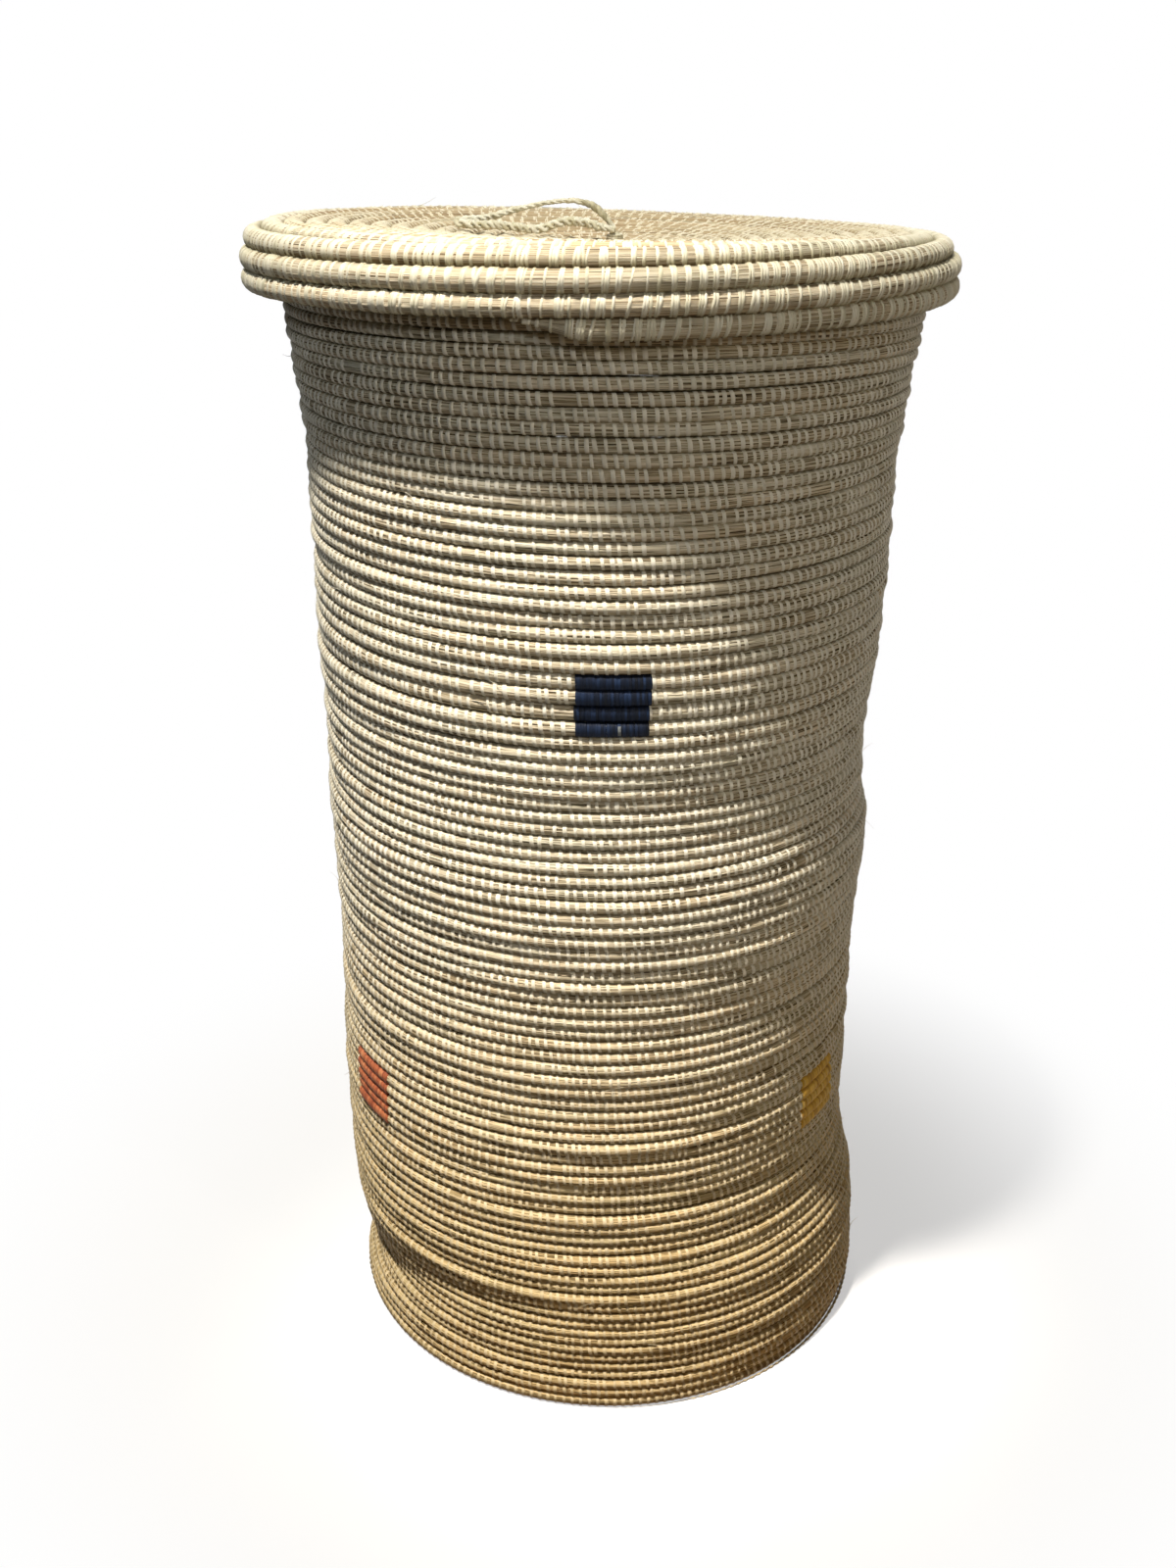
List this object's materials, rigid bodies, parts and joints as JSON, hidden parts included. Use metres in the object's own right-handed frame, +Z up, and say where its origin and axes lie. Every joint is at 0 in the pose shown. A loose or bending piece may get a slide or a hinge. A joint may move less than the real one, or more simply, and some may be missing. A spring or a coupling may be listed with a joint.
{
  "type": "lidded laundry hamper",
  "caption": "Tall round hamper coiled from sewn grass bundles, with dyed stitched squares, an overhanging lift-off lid and a braided loop handle.",
  "frame": {"origin": "on the floor, under the middle of the lid", "axes": "+Z up along the basket, -Y towards the front with the navy square, +X to the right"},
  "size_m": [0.4016, 0.4016, 0.7162],
  "materials": {
    "basket_straw": "dry grass bundles sewn with pale palm strips, matt with a slight sheen on the strips",
    "lid_straw": "thicker grass bundle sewn with pale palm strips, a little paler than the wall",
    "navy_stitching": "palm strips dyed navy, sewn side by side",
    "terracotta_stitching": "palm strips dyed terracotta, sewn side by side",
    "ochre_stitching": "palm strips dyed ochre, sewn side by side",
    "handle_cord": "braided grass cord, greyer and greener than the lid"
  },
  "bodies": {
    "basket": {"base_coil": "basket_straw", "wall_coil": "basket_straw", "patch_navy_front": "navy_stitching", "patch_terracotta_left": "terracotta_stitching", "patch_ochre_right": "ochre_stitching", "patch_terracotta_back_right": "terracotta_stitching", "patch_ochre_back_left": "ochre_stitching", "patch_navy_back": "navy_stitching"},
    "lid": {"lid_skirt_coil": "lid_straw", "lid_top_coil": "lid_straw", "handle_tie": "handle_cord"},
    "handle": {"handle_loop": "handle_cord"}
  },
  "joints": [
    {"name": "lid_lift", "type": "slide", "parent": "basket", "child": "lid", "axis": [0, 0, 1], "range_m": [0, 0.25]},
    {"name": "handle_lift", "type": "hinge", "parent": "lid", "child": "handle", "pos_m": [0.008, 0, 0.69883], "axis": [0, 1, 0], "range_deg": [0, 90]}
  ]
}
